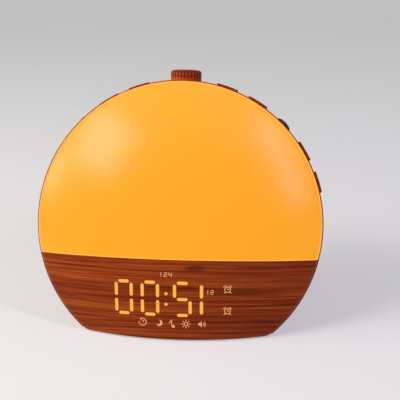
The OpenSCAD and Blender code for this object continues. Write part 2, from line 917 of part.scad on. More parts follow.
// rolled surround, cone, voice-coil former and dust cap in one profile
module speaker_cone() color(black) on_speaker_axis() translate([0, speaker_seat, 0]) turned() {
    polygon([[cone_r - 2.2, -1.9], [cone_r - 3.2, -1.9], [6.4, -6.6], [7, -9], [7.8, -9], [7.8, -6.8]]);
    intersection() {
        translate([cone_r - roll_r, roll_y]) difference() {
            circle(roll_r, $fn = 48);
            circle(roll_r - roll_t, $fn = 48);
        }
        translate([0, roll_y]) square([cone_r, 2 * roll_r]);
    }
    intersection() {
        translate([0, cap_y]) difference() {
            circle(cap_ball, $fn = 96);
            circle(cap_ball - cap_t, $fn = 96);
        }
        translate([0, cap_low]) square([7.6, 8]);
    }
}

module speaker_screws() color(steel) on_speaker_axis() at_bolts()
    translate([0, speaker_seat - speaker_flange, 0]) rotate([-90, 0, 0]) screw(speaker_screw_len);

// ---------------------------------------------------------------- power inlet

module on_jack_axis() place() translate([jack_x, 0, jack_z]) children();

module dc_jack() color(black) on_jack_axis() difference() {
    union() {
        rod(jack_seat, jack_flange_t, jack_r + jack_flange);
        rod(jack_seat - jack_len, jack_len + root, jack_r);
        rod(jack_seat - jack_body, jack_body / 2, jack_r + 1);
    }
    difference() {
        rod(jack_seat - jack_len, jack_len + 3, jack_bore / 2);
        rod(jack_seat - jack_len - past, jack_len + past + root, jack_pin / 2, 24);
    }
}

module jack_nut() color(steel) on_jack_axis() difference() {
    rod(jack_seat - wall - nut_wall_gap - nut_t, nut_t, jack_r + 2.4, 6);
    rod(jack_seat - wall - nut_t - past, nut_t + 3 * past, jack_r + thread_clear);
}

// ---------------------------------------------------------------- base

// slice of a solid as thick as the base plate
module base_slab() intersection() {
    place() children();
    translate([-big / 2, -big / 2, foot_proud]) cube([big, big, base_t]);
}

// the space inside the front, and a little way into the drum
module plate_front() turned_front() {
    front_profile(cover_t + fit);
    translate([0, -2]) square([skirt_in - fit, 4]);
}

// the plate stays clear of the band's skirt
module skirt_notch() ring(-skirt_root - fit, skirt_root + skirt_len + 2 * fit, shell_r, skirt_in - fit);

module base_plate() color(black) difference() {
    union() {
        base_slab() plate_front();
        base_slab() drum_solid(wall + fit);
        upright() translate([0, bay_y, floor_z]) linear_extrude(bay_top - floor_z)
            rounded(door_w + bay_rim, door_d + bay_rim, bay_corner);
    }
    place() skirt_notch();
    upright() {
        four(front_foot, back_foot) translate([0, 0, floor_z - past])
            cylinder(h = past + foot_sink, r = foot_r + foot_clear, $fn = 64);
        four(front_screw, back_screw) translate([0, 0, floor_z - past]) {
            cylinder(h = base_t + 2 * past, r = hole_r, $fn = 32);
            cylinder(h = past + head_t, r = head_r + head_room, $fn = 32);
        }
        translate([0, bay_y, floor_z - past]) linear_extrude(past + door_t)
            rounded(door_w + 2 * fit, door_d + 2 * fit, bay_corner);
        translate([cell_x, bay_y, floor_z])
            cylinder(h = door_t + cell_t + 1, r = cell_d / 2 + cell_clear, $fn = 96);
        translate([door_screw_x, bay_y, floor_z])
            cylinder(h = door_screw_len + past, r = door_screw_r + thread_clear, $fn = 24);
        translate([-door_w / 2 - 2, bay_y - tab_w / 2 - 0.2, floor_z + tab_t - tab_gap])
            cube([4, tab_w + 0.4, door_t - tab_t + 2 * tab_gap]);
    }
}

module battery_door() color(black) upright() translate([0, bay_y, floor_z]) difference() {
    union() {
        linear_extrude(door_t) rounded(door_w, door_d, bay_corner);
        translate([-door_w / 2 - tab_out, -tab_w / 2, tab_t]) cube([3, tab_w, door_t - tab_t]);
    }
    translate([door_screw_x, 0, -past]) {
        cylinder(h = door_t + 2 * past, r = door_screw_r + head_room, $fn = 32);
        cylinder(h = past + door_head_well, r = door_head_r + 0.2, $fn = 32);
    }
}

module battery_screw() color(steel) upright() translate([door_screw_x, bay_y, floor_z]) {
    cylinder(h = door_head_t, r = door_head_r, $fn = 32);
    cylinder(h = door_screw_len, r = door_screw_r, $fn = 24);
}

module coin_cell() color(steel) upright() translate([cell_x, bay_y, cell_z]) {
    cylinder(h = cell_t * 0.8, r = cell_d / 2, $fn = 96);
    cylinder(h = cell_t, r = cell_d / 2 - 1.2, $fn = 96);
}

// spring plate over the cell
module cell_contacts() color(brass) upright() translate([cell_x, bay_y, cell_z + cell_t]) difference() {
    cylinder(h = contact_t, r = contact_r, $fn = 64);
    translate([0, 0, -past]) cylinder(h = contact_t + 2 * past, r = contact_hole, $fn = 48);
}

module rubber_feet() color(black) upright() four(front_foot, back_foot)
    translate([0, 0, floor_z - foot_proud]) {
        cylinder(h = foot_bevel_h, r1 = foot_r - foot_bevel, r2 = foot_r, $fn = 64);
        translate([0, 0, foot_bevel_h])
            cylinder(h = foot_proud + foot_sink - foot_bevel_h, r = foot_r, $fn = 64);
    }

module base_screws() color(steel) upright() four(front_screw, back_screw)
    translate([0, 0, floor_z + head_t]) screw(base_screw_len);

// ---------------------------------------------------------------- nodes

diffuser();
front_band();
rear_housing();
base_plate();
battery_door();
battery_screw();
rubber_feet();
base_screws();
speaker_grille();
speaker_basket();
speaker_magnet();
speaker_cone();
speaker_screws();
dc_jack();
jack_nut();
light_board();
led_chips();
reflector();
main_board();
board_chips();
board_headers();
key_switches();
board_spacers();
board_screws();
display_board();
display_leds();
display_mask();
display_screws();
encoder_body();
encoder_nut();
encoder_board();
encoder_plunger();
encoder_shaft();
knob();
coin_cell();
cell_contacts();
for (i = [1:key_count]) {
    key(-1, i);
    key(1, i);
}
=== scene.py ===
"""Sunrise alarm clock: finishes, lit figures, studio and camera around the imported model."""

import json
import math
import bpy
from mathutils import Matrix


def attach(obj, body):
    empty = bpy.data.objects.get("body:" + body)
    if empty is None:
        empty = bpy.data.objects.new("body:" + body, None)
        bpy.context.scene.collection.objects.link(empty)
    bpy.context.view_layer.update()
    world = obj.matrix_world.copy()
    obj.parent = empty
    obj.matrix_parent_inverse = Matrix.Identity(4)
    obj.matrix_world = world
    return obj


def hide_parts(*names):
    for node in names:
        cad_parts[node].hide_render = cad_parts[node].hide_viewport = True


bl_info = {
    "name": "Sunrise Alarm Clock",
    "version": (1, 0, 0),
    "blender": (4, 5, 0),
    "location": "View3D > Sidebar > Alarm Clock",
    "description": "Finishes, lit figures, studio and camera for a packed sunrise alarm clock",
    "category": "Object",
}

import bmesh
import bpy
from bpy.props import FloatProperty, FloatVectorProperty, PointerProperty, StringProperty
from bpy.types import Operator, Panel, PropertyGroup
from mathutils import Matrix, Quaternion, Vector
from mathutils.bvhtree import BVHTree
from mathutils.geometry import delaunay_2d_cdt

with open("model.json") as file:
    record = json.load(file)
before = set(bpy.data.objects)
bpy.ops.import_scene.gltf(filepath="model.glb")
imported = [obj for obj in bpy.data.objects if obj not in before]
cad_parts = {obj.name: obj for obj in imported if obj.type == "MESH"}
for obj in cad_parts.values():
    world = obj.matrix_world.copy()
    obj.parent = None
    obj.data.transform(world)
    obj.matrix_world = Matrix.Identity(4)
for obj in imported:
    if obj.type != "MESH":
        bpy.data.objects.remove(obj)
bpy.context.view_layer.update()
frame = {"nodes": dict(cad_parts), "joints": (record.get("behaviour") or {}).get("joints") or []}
NODES = frame["nodes"]
MM = 0.001


# ---------------------------------------------------------------- the face, as the frame gives it


class Face:
    """The round face's own directions, centre and radius, read from the frame."""

    def __init__(self):
        turn = next(joint for joint in frame["joints"] if joint["name"] == "knob_turn")
        self.up = Vector(turn["axis"]).normalized()
        if self.up.z < 0:
            self.up.negate()
        self.back = Vector((0, self.up.z, -self.up.y))
        self.lean = math.atan2(self.up.y, self.up.z)
        shell = [v.co for v in NODES["rear_housing"].data.vertices]
        self.radius = max(p.x for p in shell)
        depth = min(p.dot(self.back) for p in shell)
        height = max(p.dot(self.up) for p in shell) - self.radius
        self.centre = self.back * depth + self.up * height

    def point(self, x, y, z):
        """A place given right, back and up of the face's centre."""
        return self.centre + Vector((x, 0, 0)) + self.back * y + self.up * z

    def local(self, p):
        """The same three distances of a place in the frame."""
        from_centre = Vector(p) - self.centre
        return Vector((from_centre.x, from_centre.dot(self.back), from_centre.dot(self.up)))


FACE = Face()


def face_box(name):
    """Lowest and highest distances right, back and up of the face's centre in a CAD node."""
    spots = [FACE.local(v.co) for v in NODES[name].data.vertices]
    low = Vector([min(p[i] for p in spots) for i in range(3)])
    high = Vector([max(p[i] for p in spots) for i in range(3)])
    return low, high


COVER_LOW, COVER_HIGH = face_box("diffuser")
MASK_LOW, MASK_HIGH = face_box("display_mask")


# ---------------------------------------------------------------- what a user can change


def length_of(name, description, default, low, high):
    """A length that a user can change, given in millimetres."""
    return FloatProperty(
        name=name, description=description, default=default * MM, min=low * MM, max=high * MM,
        unit="LENGTH")


def colour_of(name, description, default):
    """A colour that a user can change, in linear light."""
    return FloatVectorProperty(
        name=name, description=description, default=default, subtype="COLOR", size=3, min=0, max=1)


def power_of(name, description, default):
    """A lamp's power that a user can change, in watts."""
    return FloatProperty(
        name=name, description=description, default=default, min=0, max=50, subtype="POWER")


class ClockFigures(PropertyGroup):
    """Sizes of the lit figures."""

    digit_width: length_of(
        "Digit width", "Between the middles of a digit's upright bars", 9.45, 4, 16)
    digit_height: length_of(
        "Digit height", "Between the middles of the top and bottom bars", 20.3, 8, 26)
    digit_pitch: length_of("Digit pitch", "From one digit to the next", 16.3, 10, 22)
    colon_room: length_of(
        "Room for the colon", "Added between the two pairs of digits", 3.5, 0, 8)
    bar_width: length_of("Bar width", "Width of one lit bar", 2.0, 0.8, 4)
    bar_gap: length_of("Bar gap", "Dark gap between the ends of two upright bars", 1.9, 0.2, 3)
    time_shift: length_of(
        "Time shift", "How far the time sits left of the display's middle", 3.7, 0, 10)
    colon_rise: length_of("Colon rise", "From the time's middle to a dot of the colon", 3.35, 1, 8)
    stroke: length_of("Stroke", "Line width of the small marks", 0.5, 0.2, 1.2)
    lift: length_of("Lift", "How far the figures stand proud of the skin", 0.05, 0.01, 0.3)
    time: StringProperty(
        name="Time", description="Four plain digits on the display", default="0051", maxlen=4)


class ClockColours(PropertyGroup):
    """Colours of the finishes, in linear light."""

    glow: colour_of("Cover glow", "Light that the cover gives off", (0.72, 0.285, 0.006))
    cover: colour_of("Cover", "The cover's own colour with its lamps on", (0.40, 0.15, 0.008))
    wood_dark: colour_of("Wood, dark", "Late wood and the dark lines", (0.150, 0.015, 0.0025))
    wood_mid: colour_of("Wood, middle", "Body of the wood", (0.330, 0.044, 0.0045))
    wood_light: colour_of("Wood, light", "Early wood and the pale lines", (0.500, 0.100, 0.013))
    figure: colour_of("Figures", "Light of the digits", (0.98, 0.46, 0.055))
    mark: colour_of("Marks", "Light of the small marks", (0.80, 0.38, 0.12))


class ClockStudio(PropertyGroup):
    """Camera and lamps."""

    yaw: FloatProperty(
        name="Camera yaw", description="Turn of the camera to the right of straight ahead",
        default=math.radians(4.65), subtype="ANGLE")
    elevation: FloatProperty(
        name="Camera elevation", description="Height of the camera above the horizon",
        default=math.radians(18.32), subtype="ANGLE")
    distance: FloatProperty(
        name="Camera distance", description="From the camera to the place it looks at",
        default=535.8 * MM, min=0.2, max=3, unit="LENGTH")
    aim: FloatVectorProperty(
        name="Aim", description="The place it looks at, from the face's centre",
        default=(13.3 * MM, 0, 16.25 * MM), size=3, subtype="TRANSLATION", unit="LENGTH")
    lens: FloatProperty(
        name="Lens", description="Focal length on a 36 mm sensor",
        default=77.8, min=20, max=200, unit="CAMERA")
    key_power: power_of("Key lamp", "Power of the soft lamp at the upper left", 7.4)
    side_power: power_of("Side lamp", "Power of the low warm lamp at the left", 6.0)
    strip_power: power_of("Strip lamp", "Power of the tall narrow lamp at the right", 3.7)
    world_light: FloatProperty(
        name="World light", description="Strength of the even light from all round",
        default=0.15, min=0, max=2)


# ---------------------------------------------------------------- shader nodes


def add(tree, kind, links=None, **settings):
    """Adds one shader node; links gives its inputs, as sockets to join or as values."""
    made = tree.nodes.new("ShaderNode" + kind)
    for key, value in settings.items():
        setattr(made, key, value)
    for key, value in (links or {}).items():
        if isinstance(value, bpy.types.NodeSocket):
            tree.links.new(value, made.inputs[key])
        else:
            made.inputs[key].default_value = value
    return made


def calc(tree, operation, a, b=0.0):
    """One sum of two numbers or sockets."""
    return add(tree, "Math", {0: a, 1: b}, operation=operation).outputs[0]


def plus(tree, a, b):
    """a and b added."""
    return calc(tree, "ADD", a, b)


def minus(tree, a, b):
    """b taken from a."""
    return calc(tree, "SUBTRACT", a, b)


def times(tree, a, b):
    """a and b multiplied."""
    return calc(tree, "MULTIPLY", a, b)


def between(tree, value, low, high, to_low=0.0, to_high=1.0):
    """value eased from low..high to to_low..to_high."""
    made = add(
        tree, "MapRange",
        {"Value": value, "From Min": low, "From Max": high, "To Min": to_low, "To Max": to_high},
        interpolation_type="SMOOTHSTEP")
    return made.outputs["Result"]


def spread(tree, value, low, high):
    """Noise, most of which lies in 0.3..0.7, eased to low..high."""
    return between(tree, value, 0.3, 0.7, low, high)


def scaled(tree, vector, x, y, z):
    """A vector with each part multiplied."""
    return add(tree, "VectorMath", {0: vector, 1: (x, y, z)}, operation="MULTIPLY").outputs[0]


def noise(tree, vector, scale, detail=3.0, roughness=0.5):
    """Plain noise from 0 to 1."""
    made = add(
        tree, "TexNoise",
        {"Vector": vector, "Scale": scale, "Detail": detail, "Roughness": roughness})
    return made.outputs["Fac"]


def blend(tree, amount, a, b):
    """Two colours mixed by amount."""
    return add(tree, "Mix", {0: amount, 6: a, 7: b}, data_type="RGBA").outputs[2]


def bumped(tree, height, depth, strength=1.0):
    """A normal from a height of 0 to 1 that stands for depth metres."""
    links = {"Height": height, "Distance": depth, "Strength": strength}
    return add(tree, "Bump", links).outputs["Normal"]


def from_axis(tree, a, b):
    """Distance from an axis, from the two distances square to it."""
    squares = plus(tree, times(tree, a, a), times(tree, b, b))
    return calc(tree, "SQRT", squares)


def rgba(colour, share=1.0):
    """Three numbers as the four that a colour socket holds."""
    return (colour[0] * share, colour[1] * share, colour[2] * share, 1.0)


def start_finish(name, **sockets):
    """A material with one Principled shader, whose even values are set on its own sockets."""
    material = bpy.data.materials.new(name)
    material.use_nodes = True
    tree = material.node_tree
    shader = tree.nodes["Principled BSDF"]
    for key, value in sockets.items():
        shader.inputs[key.replace("_", " ")].default_value = value
    return material, tree, shader


def frame_place(tree):
    """Place on the object, in metres of the frame."""
    return add(tree, "TexCoord").outputs["Object"]


def face_place(tree):
    """Place measured right, back and up of the face's centre."""
    made = add(
        tree, "Mapping",
        {"Vector": frame_place(tree), "Location": FACE.centre, "Rotation": (-FACE.lean, 0, 0)},
        vector_type="TEXTURE")
    return made.outputs[0]


def dress(material, *names):
    """Gives CAD nodes a material."""
    for name in names:
        slots = NODES[name].material_slots
        if not slots:
            raise RuntimeError(f"node {name} has no material slot")
        for slot in slots:
            slot.material = material


# ---------------------------------------------------------------- finishes

# The cover's light at its edge, its own edge glow with a painted highlight, and near its top,
# its light's unevenness with a painted reflection of light from above, and where those begin, up
# of the face's centre or in from the cover's edge.
EDGE_GLOW_AND_PAINTED_HIGHLIGHT = (0.84, 0.39, 0.05)
TOP_GLOW_AND_PAINTED_REFLECTION = (0.76, 0.335, 0.030)
TOP_GLOW_AND_PAINTED_REFLECTION_HEIGHTS = (20 * MM, 88 * MM)
RIM_LINE_WIDTH = 1.5 * MM
FOOT_LINE_WIDTH = 1.2 * MM
EDGE_LINE_MARGIN = 0.2 * MM

# Each layer of the wood's grain: changes in a metre along it and across it, detail, roughness.
STRIPS = (3.0, 170.0, 1.0, 0.5)
LINES = (14.0, 620.0, 3.0, 0.6)
FIBRES = (22.0, 1700.0, 2.0, 0.5)
STREAKS = (5.0, 330.0, 3.0, 0.6)
STRIP_SHARE = 0.26
LINE_SHARE = 0.52
FIBRE_SHARE = 0.22
SWAY = 5 * MM
# Where on the tone the dark, middle and light colours of the wood stand.
TONE_DARK = 0.395
TONE_MID = 0.50
TONE_LIGHT = 0.61
# Where in their noise the dark streaks begin and are full, and how much of the colour they take.
STREAK_RANGE = (0.60, 0.70)
STREAK_SHADE = 0.60
GRAIN_DEPTH = 0.05 * MM
# A joint in the cane: half its length and height, where its spot begins and is full, how much of
# the colour it takes, its share of the dark colour, and its place on the front band, right and up
# of the face's centre.
KNOT_LENGTH = 10 * MM
KNOT_HEIGHT = 2.6 * MM
KNOT_RANGE = (0.05, 0.55)
KNOT_SHADE = 0.75
KNOT_TONE = 0.9
FRONT_KNOT = (12.7 * MM, -24.2 * MM)
# The painted shade in a knob's grooves: how far in from the ribs and down from the top it
# begins and is full, how much of the colour it takes, and its share of the dark colour.
GROOVE_IN = (0.04 * MM, 0.24 * MM)
GROOVE_DOWN = (0.7 * MM, 1.3 * MM)
GROOVE_PAINTED_SHADE = 0.65
GROOVE_PAINTED_SHADE_TONE = 0.55
# From one tool mark on metal to the next.
TOOL_PITCH = 0.12 * MM


def glowing_cover(colours):
    """Milky plastic lit from inside, paler at its edge, its glow there with a painted highlight,
    and near its top, uneven light with a painted reflection.
    """
    material, tree, shader = start_finish(
        "glowing_cover", Roughness=0.30, IOR=1.46, Specular_IOR_Level=0.32, Emission_Strength=1.0)
    place = face_place(tree)
    parts = add(tree, "SeparateXYZ", {0: place})
    height = parts.outputs[2]
    # Paler line along the rim and the foot: the edge's own glow with a painted highlight.
    edge = COVER_HIGH.x
    rim = between(
        tree, from_axis(tree, parts.outputs[0], height), edge - RIM_LINE_WIDTH, edge - EDGE_LINE_MARGIN)
    foot = between(tree, height, COVER_LOW.z + FOOT_LINE_WIDTH, COVER_LOW.z + EDGE_LINE_MARGIN)
    line = calc(tree, "MAXIMUM", rim, foot)
    # Paler towards the top: the light's unevenness with a painted reflection of light from above.
    top = between(tree, height, *TOP_GLOW_AND_PAINTED_REFLECTION_HEIGHTS)
    cloud = between(tree, noise(tree, place, 18.0, 2.0), 0.2, 0.8, 0.75, 1.0)
    body = blend(
        tree, times(tree, top, cloud), rgba(colours.glow), rgba(TOP_GLOW_AND_PAINTED_REFLECTION))
    lit = blend(tree, line, body, rgba(EDGE_GLOW_AND_PAINTED_HIGHLIGHT))
    tree.links.new(lit, shader.inputs["Emission Color"])
    shader.inputs["Base Color"].default_value = rgba(colours.cover)
    fine = noise(tree, place, 2600.0, 2.0)
    tree.links.new(spread(tree, fine, 0.24, 0.30), shader.inputs["Roughness"])
    tree.links.new(bumped(tree, fine, 0.004 * MM), shader.inputs["Normal"])
    return material


def groove_depth(tree, parts, knob):
    """How far into a knob's grooves a place lies, from 0 on the ribs to 1 on the grooves' floor."""
    low, high = face_box(knob)
    middle = (low + high) / 2
    radius = high.x - middle.x
    x = minus(tree, parts.outputs[0], middle.x)
    y = minus(tree, parts.outputs[1], middle.y)
    inward = between(tree, from_axis(tree, x, y), radius - GROOVE_IN[0], radius - GROOVE_IN[1])
    below = between(tree, parts.outputs[2], high.z - GROOVE_DOWN[0], high.z - GROOVE_DOWN[1])
    return times(tree, inward, below)


def grain(tree, layer, along, across, detail, roughness):
    """Noise drawn out along the wood's layers."""
    return noise(tree, scaled(tree, layer, along, along, across), 1.0, detail, roughness)


def layered_wood(name, colours, seed=0.0, share=1.0, knot=None, knob=None):
    """Bamboo grain in level layers: strips, lines and fibres, with a joint in the cane at knot.

    seed shifts the layers, share lightens the colours, and knob is a node whose grooves get painted
    shade.
    """
    material, tree, shader = start_finish(name, Roughness=0.42, Specular_IOR_Level=0.12)
    dark = rgba(colours.wood_dark, share)
    place = face_place(tree)
    parts = add(tree, "SeparateXYZ", {0: place})
    x, y, z = parts.outputs
    behind = times(tree, calc(tree, "MAXIMUM", y, 0.0), math.tan(FACE.lean))
    sway = minus(tree, noise(tree, scaled(tree, place, 1.0, 1.0, 2.2), 7.0, 2.0), 0.5)
    level = minus(tree, z, behind)
    level = plus(tree, level, times(tree, sway, SWAY))
    level = plus(tree, level, seed)
    layer = add(tree, "CombineXYZ", {0: x, 1: y, 2: level}).outputs[0]
    lines = grain(tree, layer, *LINES)
    fibres = grain(tree, layer, *FIBRES)
    tone = times(tree, grain(tree, layer, *STRIPS), STRIP_SHARE)
    tone = plus(tree, tone, times(tree, lines, LINE_SHARE))
    tone = plus(tree, tone, times(tree, fibres, FIBRE_SHARE))
    ramp = add(tree, "ValToRGB", {0: tone})
    first, last = ramp.color_ramp.elements
    first.position = TONE_DARK
    first.color = dark
    last.position = TONE_LIGHT
    last.color = rgba(colours.wood_light, share)
    ramp.color_ramp.elements.new(TONE_MID).color = rgba(colours.wood_mid, share)
    streaks = between(tree, grain(tree, layer, *STREAKS), *STREAK_RANGE, 0.0, STREAK_SHADE)
    colour = blend(tree, streaks, ramp.outputs[0], dark)
    if knot is not None:
        spot = cane_joint(tree, place, layer, knot)
        heart = between(tree, spot, *KNOT_RANGE, 0.0, KNOT_SHADE)
        colour = blend(tree, heart, colour, rgba(colours.wood_dark, share * KNOT_TONE))
    # A knob's grooves get a painted shade, darkest deep in them and below the top.
    if knob is not None:
        shade = times(tree, groove_depth(tree, parts, knob), GROOVE_PAINTED_SHADE)
        colour = blend(tree, shade, colour, rgba(colours.wood_dark, GROOVE_PAINTED_SHADE_TONE))
    tree.links.new(colour, shader.inputs["Base Color"])
    tree.links.new(spread(tree, lines, 0.50, 0.36), shader.inputs["Roughness"])
    relief = plus(tree, times(tree, lines, 0.6), times(tree, fibres, 0.4))
    tree.links.new(bumped(tree, relief, GRAIN_DEPTH, 0.6), shader.inputs["Normal"])
    return material


def cane_joint(tree, place, layer, knot):
    """A ragged long spot round knot, given right and up of the face's centre."""
    size = (KNOT_LENGTH, 1.0, KNOT_HEIGHT)
    spot = add(
        tree, "Mapping", {"Vector": layer, "Location": (knot[0], 0, knot[1]), "Scale": size},
        vector_type="TEXTURE").outputs[0]
    smooth = add(tree, "TexGradient", {0: spot}, gradient_type="SPHERICAL").outputs["Fac"]
    ragged = noise(tree, scaled(tree, place, 260.0, 260.0, 900.0), 1.0, 2.0, 0.6)
    rough_edge = times(tree, minus(tree, ragged, 0.5), 0.9)
    return plus(tree, smooth, rough_edge)


def moulded(name, colour, roughness=0.45, grain=0.012, pitch=0.35, **sockets):
    """Moulded plastic or rubber with a fine spark-eroded grain; grain and pitch in millimetres."""
    material, tree, shader = start_finish(name, **sockets)
    place = frame_place(tree)
    texture = noise(tree, place, 1.0 / (pitch * MM), 2.0, 0.55)
    handled = noise(tree, place, 45.0, 3.0)
    tree.links.new(
        blend(tree, spread(tree, handled, 0.0, 1.0), rgba(colour, 0.88), rgba(colour, 1.10)),
        shader.inputs["Base Color"])
    shine = plus(tree, spread(tree, handled, -0.05, 0.05), roughness)
    shine = plus(tree, shine, spread(tree, texture, -0.04, 0.04))
    tree.links.new(shine, shader.inputs["Roughness"])
    tree.links.new(bumped(tree, texture, grain * MM), shader.inputs["Normal"])
    return material


def machined(name, colour, roughness=0.3):
    """Machined or plated metal with fine tool marks and faint stains."""
    material, tree, shader = start_finish(name, Metallic=1.0)
    place = frame_place(tree)
    marks = noise(tree, place, 1.0 / TOOL_PITCH, 3.0, 0.6)
    stains = noise(tree, place, 160.0, 3.0)
    tree.links.new(
        blend(tree, between(tree, stains, 0.3, 0.75), rgba(colour, 0.86), rgba(colour, 1.05)),
        shader.inputs["Base Color"])
    wear = plus(tree, times(tree, marks, 0.5), times(tree, stains, 0.5))
    shine = spread(tree, wear, roughness - 0.08, roughness + 0.10)
    tree.links.new(shine, shader.inputs["Roughness"])
    tree.links.new(bumped(tree, marks, 0.004 * MM), shader.inputs["Normal"])
    return material


def lit_figure(name, colour):
    """Light of a bar or mark through the skin."""
    material, tree, shader = start_finish(
        name, Roughness=0.5, Specular_IOR_Level=0.2, Emission_Strength=1.0)
    place = face_place(tree)
    veneer = noise(tree, scaled(tree, place, 60.0, 60.0, 900.0), 1.0, 3.0, 0.6)
    tree.links.new(
        blend(tree, spread(tree, veneer, 0.0, 1.0), rgba(colour, 0.93), rgba(colour, 1.04)),
        shader.inputs["Emission Color"])
    shader.inputs["Base Color"].default_value = rgba((0.02, 0.012, 0.004))
    tree.links.new(spread(tree, veneer, 0.45, 0.55), shader.inputs["Roughness"])
    tree.links.new(bumped(tree, veneer, 0.01 * MM), shader.inputs["Normal"])
    return material


# ---------------------------------------------------------------- figures on the skin


def bar(start, end, width, step=0.9 * MM, turns=8):
    """Outline of a bar with round ends from start to end, as a list of one polygon."""
    a = Vector(start)
    b = Vector(end)
    along = b - a
    length = along.length
    along = along / length if length > 1e-9 else Vector((1, 0))
    side = Vector((-along.y, along.x)) * (width / 2)
    count = max(1, round(length / step))
    points = []
    for i in range(count + 1):
        points.append(a + along * (length * i / count) - side)
    for i in range(1, turns):
        angle = math.pi * i / turns
        points.append(b - side * math.cos(angle) + along * (width / 2 * math.sin(angle)))
    for i in range(count + 1):
        points.append(b - along * (length * i / count) + side)
    for i in range(1, turns):
        angle = math.pi * i / turns
        points.append(a + side * math.cos(angle) - along * (width / 2 * math.sin(angle)))
    return [points]


def path(points, width):
    """Outlines of a line of bars through points."""
    outlines = []
    for a, b in zip(points, points[1:]):
        outlines += bar(a, b, width)
    return outlines


def on_circle(middle, radius, angle):
    """A place on a circle."""
    return Vector((middle[0] + radius * math.cos(angle), middle[1] + radius * math.sin(angle)))


def arc(middle, radius, start, end, width, steps=24):
    """Outlines of a curved line from one angle to another, in degrees."""
    points = []
    for i in range(steps + 1):
        points.append(on_circle(middle, radius, math.radians(start + (end - start) * i / steps)))
    return path(points, width)


def disc(middle, radius, steps=20):
    """Outline of a filled circle."""
    return [[on_circle(middle, radius, 2 * math.pi * i / steps) for i in range(steps)]]


# Bars of a digit as ends on a grid: x -1 left, 1 right; z 1 top, 0 middle, -1 bottom.
BARS = {
    "top": ((-1, 1), (1, 1)),
    "upper_left": ((-1, 1), (-1, 0)),
    "upper_right": ((1, 1), (1, 0)),
    "middle": ((-1, 0), (1, 0)),
    "lower_left": ((-1, 0), (-1, -1)),
    "lower_right": ((1, 0), (1, -1)),
    "bottom": ((-1, -1), (1, -1)),
}
SHAPES = {
    "0": "top upper_left upper_right lower_left lower_right bottom",
    "1": "upper_left lower_left",
    "2": "top upper_right middle lower_left bottom",
    "3": "top upper_right middle lower_right bottom",
    "4": "upper_left upper_right middle lower_right",
    "5": "top upper_left middle lower_right bottom",
    "6": "top upper_left middle lower_left lower_right bottom",
    "7": "top upper_right lower_right",
    "8": "top upper_left upper_right middle lower_left lower_right bottom",
    "9": "top upper_left upper_right middle lower_right bottom",
}


def digit(character, middle, width, height, stroke, gap):
    """Outlines of a seven-bar digit, with gap left between the ends of its upright bars.

    Level bars are cut a little shorter than upright ones, so that their corners stay apart.
    """
    outlines = []
    for name in SHAPES[character].split():
        ends = []
        for gx, gz in BARS[name]:
            ends.append(Vector((middle[0] + gx * width / 2, middle[1] + gz * height / 2)))
        along = (ends[1] - ends[0]).normalized()
        cut = 0.0
        if gap > 0:
            upright = abs(along.y) > 0.5
            cut = gap / 2 + stroke * (0.5 if upright else 0.75)
        outlines += bar(ends[0] + along * cut, ends[1] - along * cut, stroke)
    return outlines


def number(characters, middle, width, height, pitch, stroke):
    """Outlines of a small plain number with joined strokes; a 1 stands mid-way in its place."""
    outlines = []
    first = middle[0] - pitch * (len(characters) - 1) / 2
    for i, character in enumerate(characters):
        x = first + pitch * i + (width / 2 if character == "1" else 0)
        outlines += digit(character, (x, middle[1]), width, height, stroke, 0.0)
    return outlines


# The marks are drawn in shares of their size, or of their ring's radius, right and up of middle.


def alarm_mark(middle, size, stroke):
    """An alarm clock: ring, hands, two bells and two feet."""
    x, z = middle
    r = size * 0.36
    marks = arc(middle, r, 0, 360, stroke)
    marks += path([(x, z + r * 0.55), (x, z), (x + r * 0.45, z)], stroke * 0.8)
    for side in (-r, r):
        marks += bar((x + side * 0.75, z + r * 1.45), (x + side * 1.4, z + r * 0.85), stroke)
        marks += bar((x + side * 0.8, z - r * 0.9), (x + side * 1.15, z - r * 1.3), stroke)
    return marks


def timer_mark(middle, size, stroke):
    """A dial that is open at its upper left, with a hand."""
    x, z = middle
    r = size * 0.44
    marks = arc(middle, r, 130, -180, stroke)
    marks += path([(x, z), (x + r * 0.42, z + r * 0.45)], stroke)
    marks += bar((x - r * 0.35, z + r * 0.85), (x - r * 0.35, z + r * 0.35), stroke)
    return marks


def moon_mark(middle, size, stroke, steps=18):
    """A crescent between a round outer curve and an inner one through the same two tips."""
    r = size * 0.42
    shift = r * 0.55
    tip = math.radians(125)
    tip_across = r * math.cos(tip) + shift
    tip_up = r * math.sin(tip)
    inner_r = math.hypot(tip_across, tip_up)
    inner_tip = math.atan2(tip_up, tip_across)
    outline = []
    for i in range(steps + 1):
        angle = tip * (2 * i / steps - 1)
        outline.append(Vector((r * math.cos(angle), r * math.sin(angle))))
    for i in range(steps - 1, 0, -1):
        angle = inner_tip * (2 * i / steps - 1)
        outline.append(Vector((inner_r * math.cos(angle) - shift, inner_r * math.sin(angle))))
    tilt = Matrix.Rotation(math.radians(-30), 2)
    return [[Vector(middle) + tilt @ p for p in outline]]


def note_mark(middle, size, stroke):
    """A single note."""
    x, z = middle
    marks = bar((x - size * 0.05, z + size * 0.48), (x - size * 0.05, z - size * 0.30), stroke)
    marks += bar((x - size * 0.05, z + size * 0.46), (x - size * 0.34, z + size * 0.10), stroke)
    marks += disc((x + size * 0.13, z - size * 0.33), size * 0.19)
    return marks


def sun_mark(middle, size, stroke, rays=8):
    """A ring with rays."""
    marks = arc(middle, size * 0.21, 0, 360, stroke)
    for i in range(rays):
        angle = 2 * math.pi * i / rays
        away = Vector((math.cos(angle), math.sin(angle))) * size
        marks += bar(Vector(middle) + away * 0.36, Vector(middle) + away * 0.47, stroke)
    return marks


